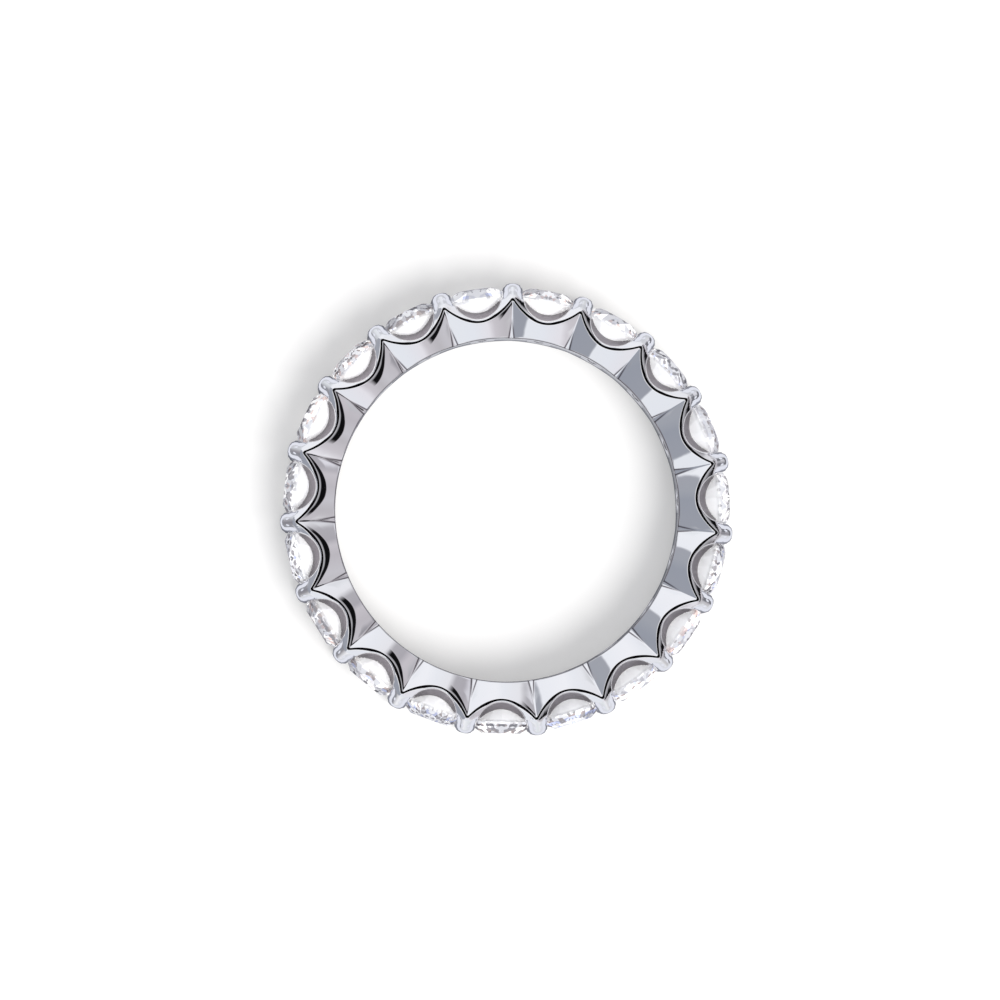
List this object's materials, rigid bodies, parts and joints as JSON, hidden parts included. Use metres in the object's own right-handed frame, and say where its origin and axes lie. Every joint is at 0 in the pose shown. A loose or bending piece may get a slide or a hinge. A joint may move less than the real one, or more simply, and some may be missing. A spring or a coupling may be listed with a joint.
{
  "type": "eternity ring",
  "caption": "Finger ring set all the way round with round brilliant stones, held by shared prongs over scalloped white metal sides.",
  "frame": {"origin": "centre of the finger hole, half way across the ring's width", "axes": "+Z along the ring's axis, up as the ring lies on its side; +X out through the first stone"},
  "size_m": [0.0217, 0.0218, 0.0034],
  "materials": {
    "white_metal": "mirror-polished white precious metal",
    "stone": "clear colourless cut stone with polished facets"
  },
  "bodies": {
    "root": {"setting": "white_metal", "stone_01": "stone", "stone_02": "stone", "stone_03": "stone", "stone_04": "stone", "stone_05": "stone", "stone_06": "stone", "stone_07": "stone", "stone_08": "stone", "stone_09": "stone", "stone_10": "stone", "stone_11": "stone", "stone_12": "stone", "stone_13": "stone", "stone_14": "stone", "stone_15": "stone", "stone_16": "stone", "stone_17": "stone", "stone_18": "stone", "stone_19": "stone"}
  },
  "joints": []
}
